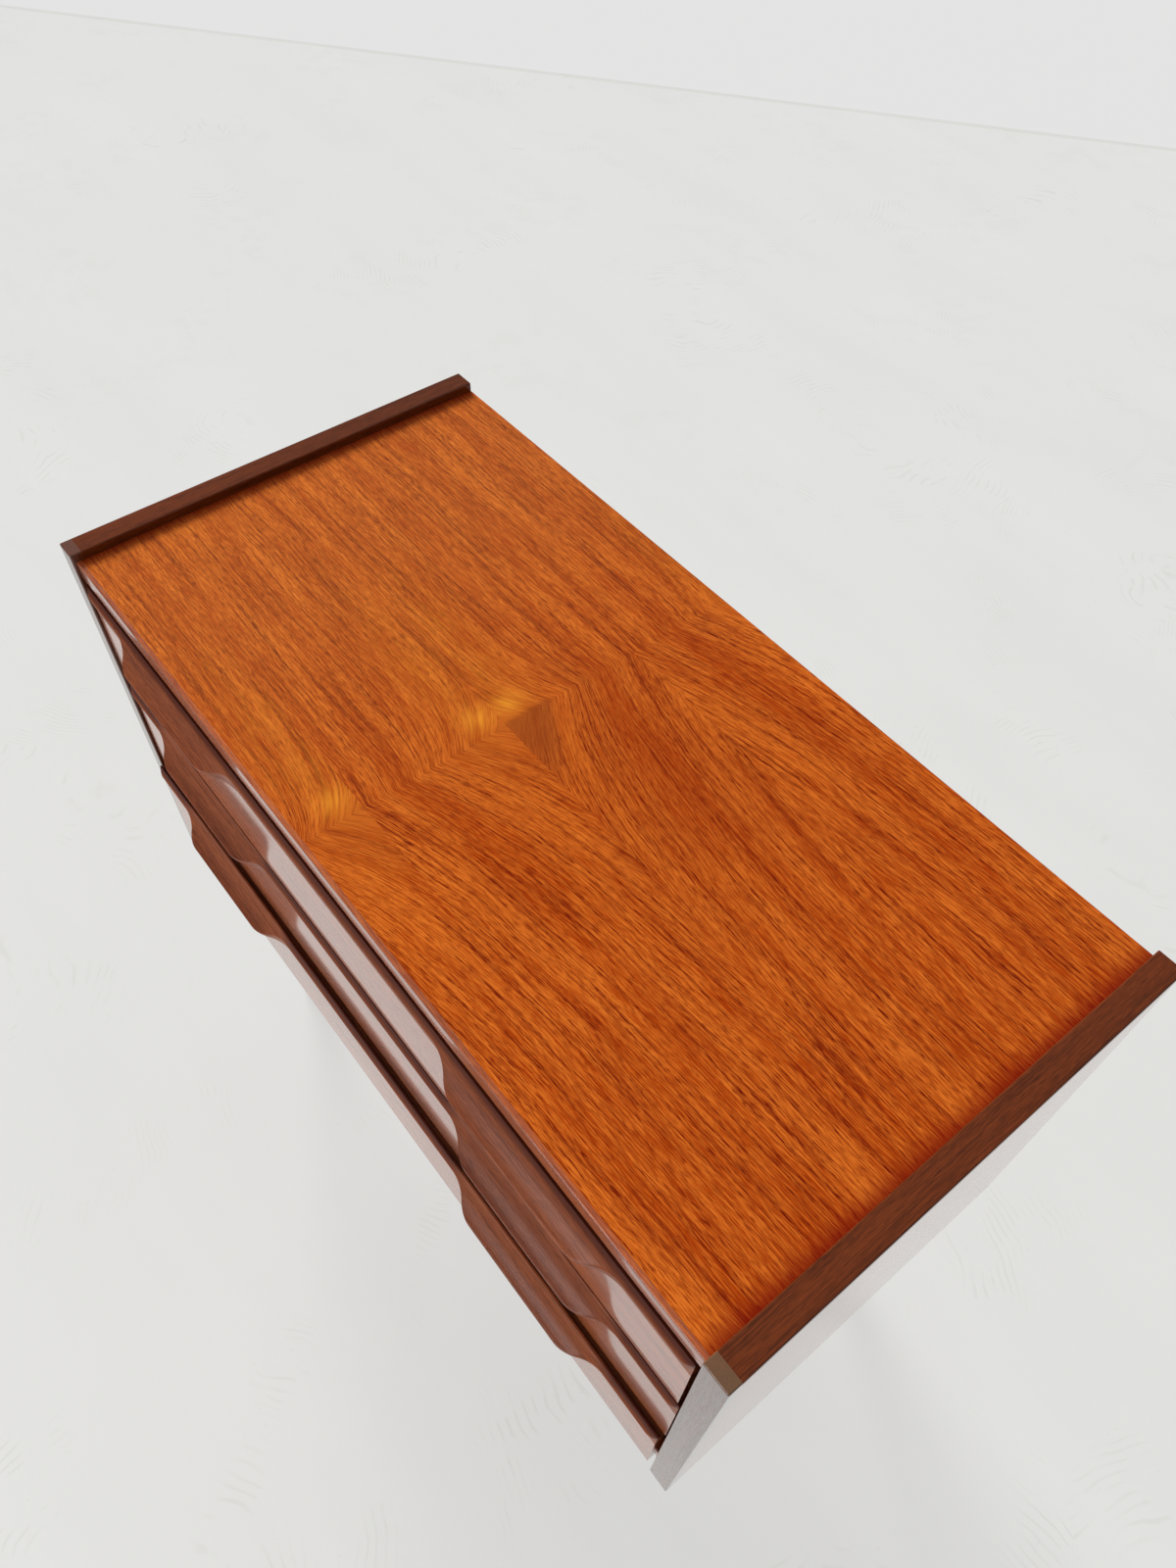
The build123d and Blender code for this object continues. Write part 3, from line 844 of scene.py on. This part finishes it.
def make_screws():
    """Every screw of the model again, with the cross in its head."""
    for node, length, aim, seed in (("back_screws", BACK_SCREW, FACING_BACK, 1),
                                    ("plate_screws", PLATE_SCREW, FACING_DOWN, 2)):
        shape = screw_shape(length)
        places = []
        for low, high in loose_boxes(node):
            middle = (low + high) / 2
            if aim == FACING_BACK:
                middle.y = high.y
            else:
                middle.z = low.z
            places.append(middle)
        set_at(f"{node}_crossed", "case", places, shape, aim, seed, node)
        bpy.data.objects.remove(shape)


def make_pins():
    """Panel pins that hold each drawer's bottom to its back."""
    shape = pin_shape()
    for drawer in DRAWERS:
        low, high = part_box(f"{drawer}_bottom")
        rail_low, rail_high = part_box(f"{drawer}_back")
        y = (rail_low.y + rail_high.y) / 2
        steps = [(i + 0.5) / PIN_COUNT for i in range(PIN_COUNT)]
        places = [(low.x + (high.x - low.x) * step, y, low.z - PIN_OFF * MM) for step in steps]
        set_at(f"{drawer}_bottom_pins", drawer, places, shape, FACING_DOWN, 3)
    bpy.data.objects.remove(shape)


# Floor, in metres

FLOOR_HALF = 9
FLOOR_GLOW = 0.8
FAR_LINE_WAY = (-0.628, 0.778, 0.0)
FAR_LINE_AWAY = 2.775
FAR_LINE_WIDE = 0.004
FAR_LINE_SOFT = (-0.02, -0.008)
MIRROR_FADE = (1.0, 2.6)


def trowelled(net):
    """Where faint arcs and specks of the trowel show in the floor."""
    place = object_place(net)
    cells = net.add("ShaderNodeTexVoronoi", {"Vector": place, "Scale": 1.6})
    wobble = net.noise(net.scaled(place, 9, 9, 9))
    arcs = net.math("SINE", net.times(net.plus(cells.outputs["Distance"], net.times(wobble, 0.05)), 620))
    arcs = net.step(arcs, 0.4, 1.0)
    patches = net.noise(net.scaled(place, 5, 5, 5), 3.0)
    breaks = net.noise(net.scaled(place, 22, 22, 22))
    arcs = net.times(arcs, net.times(net.step(patches, 0.5, 0.62), net.step(breaks, 0.46, 0.6)))
    specks = net.step(net.noise(net.scaled(place, 240, 240, 240), 1.0), 0.7, 0.76)
    return net.most(arcs, net.times(specks, net.step(patches, 0.48, 0.6)))


def floor_paint():
    """Pale paint, part of whose colour is glow so that shadows stay light.

    A faint joint runs far behind the chest, with paler ground past it. The chest's polish
    mirrors the floor darker the further off it lies.
    """
    material, net, shader = new_material("pale_floor", "e0e0dc")
    place = object_place(net)
    cloud = net.noise(net.scaled(place, 1.6, 5, 1), 5.0, 0.6)
    paint = net.mix(cloud, colour("dcdcda"), colour("e4e4e2"))
    paint = net.mix(net.times(trowelled(net), 0.25), paint, colour("c4c4bc"))
    past = net.add("ShaderNodeVectorMath", {0: place, 1: FAR_LINE_WAY}, operation="DOT_PRODUCT")
    past = net.minus(past.outputs["Value"], FAR_LINE_AWAY)
    joint = net.times(net.step(past, *FAR_LINE_SOFT), net.step(past, 0.0, FAR_LINE_WIDE, 0.3, 0.0))
    paint = net.mix(net.step(past, 0.0, FAR_LINE_WIDE), paint, colour("e2e2e2"))
    paint = net.mix(joint, paint, colour("c4c4bc"))
    path = net.add("ShaderNodeLightPath")
    away = net.add("ShaderNodeVectorMath", {0: place}, operation="LENGTH").outputs["Value"]
    near = net.step(away, *MIRROR_FADE, 1.0, 0.2)
    mirrored = path.outputs["Is Glossy Ray"]
    share = net.plus(net.minus(1.0, mirrored), net.times(mirrored, near))
    paint = net.mix(share, colour("000000"), paint)
    glow = net.times(net.most(path.outputs["Is Camera Ray"], mirrored), FLOOR_GLOW)
    net.put(shader.inputs["Base Color"], net.mix(glow, paint, colour("000000")))
    net.put(shader.inputs["Emission Color"], paint)
    net.put(shader.inputs["Emission Strength"], glow)
    shader.inputs["Roughness"].default_value = 0.7
    shader.inputs["Specular IOR Level"].default_value = 0.1
    return material


def make_floor():
    mesh = bmesh.new()
    bmesh.ops.create_grid(mesh, x_segments=1, y_segments=1, size=FLOOR_HALF)
    piece = mesh_piece("floor", mesh, floor_paint())


# Lamps and world

def add_lamp(data, direction, place=(0, 0, 0)):
    """A lamp at a place that shines along a direction."""
    lamp = bpy.data.objects.new(data.name, data)
    lamp.location = place
    lamp.rotation_euler = Vector(direction).to_track_quat("-Z", "Y").to_euler()
    bpy.context.scene.collection.objects.link(lamp)
    return lamp


def add_sun(name, towards, strength, wide):
    """A far lamp, so many degrees wide, that shows in no reflection."""
    data = bpy.data.lights.new(name, "SUN")
    data.energy = strength
    data.angle = math.radians(wide)
    add_lamp(data, towards).visible_glossy = False


def add_softbox(name, place, target, wide, power, lights):
    """A square lamp that either lights the chest or only shows in its polish."""
    data = bpy.data.lights.new(name, "AREA")
    data.energy = power
    data.size = wide
    lamp = add_lamp(data, Vector(target) - Vector(place), place)
    lamp.visible_diffuse = lights
    lamp.visible_glossy = not lights


def set_light():
    add_sun("window", towards=(0.82, -0.25, -0.5), strength=3.6, wide=25)
    add_softbox("front_window", place=(0.15, -2.6, 2.0), target=(0.3, 0.0, 0.5), wide=1.5,
                power=34, lights=False)
    add_softbox("front_fill", place=(-0.9, -2.4, 0.9), target=(0.0, 0.0, 0.4), wide=1.6,
                power=18, lights=True)
    room = bpy.data.worlds.new("room")
    room.use_nodes = True
    net = Net(room.node_tree)
    back = room.node_tree.nodes["Background"]
    seen = net.add("ShaderNodeLightPath").outputs["Is Camera Ray"]
    net.put(back.inputs["Color"], net.mix(seen, colour("f4f4f2"), colour("e3e2e0")))
    net.put(back.inputs["Strength"], net.plus(0.5, net.times(seen, 0.5)))
    bpy.context.scene.world = room


bpy.context.scene.view_settings.view_transform = "Standard"
set_camera()
dress_nodes()
for drawer in DRAWERS:
    make_lip(drawer)
make_screws()
make_pins()
make_floor()
set_light()
